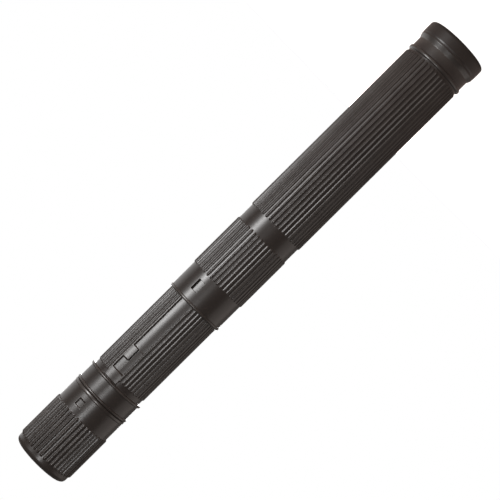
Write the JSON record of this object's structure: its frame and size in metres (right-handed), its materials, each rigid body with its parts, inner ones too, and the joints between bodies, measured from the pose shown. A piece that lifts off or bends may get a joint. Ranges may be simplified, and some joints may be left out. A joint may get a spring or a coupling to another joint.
{
  "type": "drawing tube",
  "caption": "Round telescopic drawing tube, drawn out, with ribbed walls, a twist-lock track, strap grooves, a foot and a long pull-off cap.",
  "frame": {"origin": "centre of the foot's underside, on the surface that the tube stands on", "axes": "+Z along the tube from the foot to the cap; -Y is the side with the lock track; +X is the side that the track's pockets lie toward"},
  "size_m": [0.0896, 0.0896, 0.76],
  "materials": {
    "tube_plastic": "dark satin moulded polyethylene with a fine skin texture",
    "foot_plastic": "dark satin moulded polyethylene, a little more matt than the tubes",
    "ring_plastic": "natural off-white slip plastic",
    "liner_foam": "dark soft closed-cell foam",
    "cap_plastic": "dark satin moulded polyethylene, slightly warmer and duller than the tubes"
  },
  "bodies": {
    "outer": {"outer_tube": "tube_plastic", "base_cap": "foot_plastic"},
    "slide_ring": {"guide_ring": "ring_plastic"},
    "inner": {"inner_tube": "tube_plastic"},
    "cap_disc": {"cap_liner": "liner_foam"},
    "cap": {"cap": "cap_plastic"}
  },
  "joints": [
    {"name": "extend", "type": "slide", "parent": "outer", "child": "slide_ring", "axis": [0, 0, 1], "range_m": [-0.138, 0]},
    {"name": "lock_twist", "type": "hinge", "parent": "slide_ring", "child": "inner", "pos_m": [0, 0, 0.3472], "axis": [0, 0, 1], "range_deg": [-14, 0]},
    {"name": "cap_lift", "type": "slide", "parent": "inner", "child": "cap_disc", "axis": [0, 0, 1], "range_m": [0, 0.13]},
    {"name": "cap_twist", "type": "hinge", "parent": "cap_disc", "child": "cap", "pos_m": [0, 0, 0.7563], "axis": [0, 0, 1], "range_deg": [-12, 0]}
  ]
}
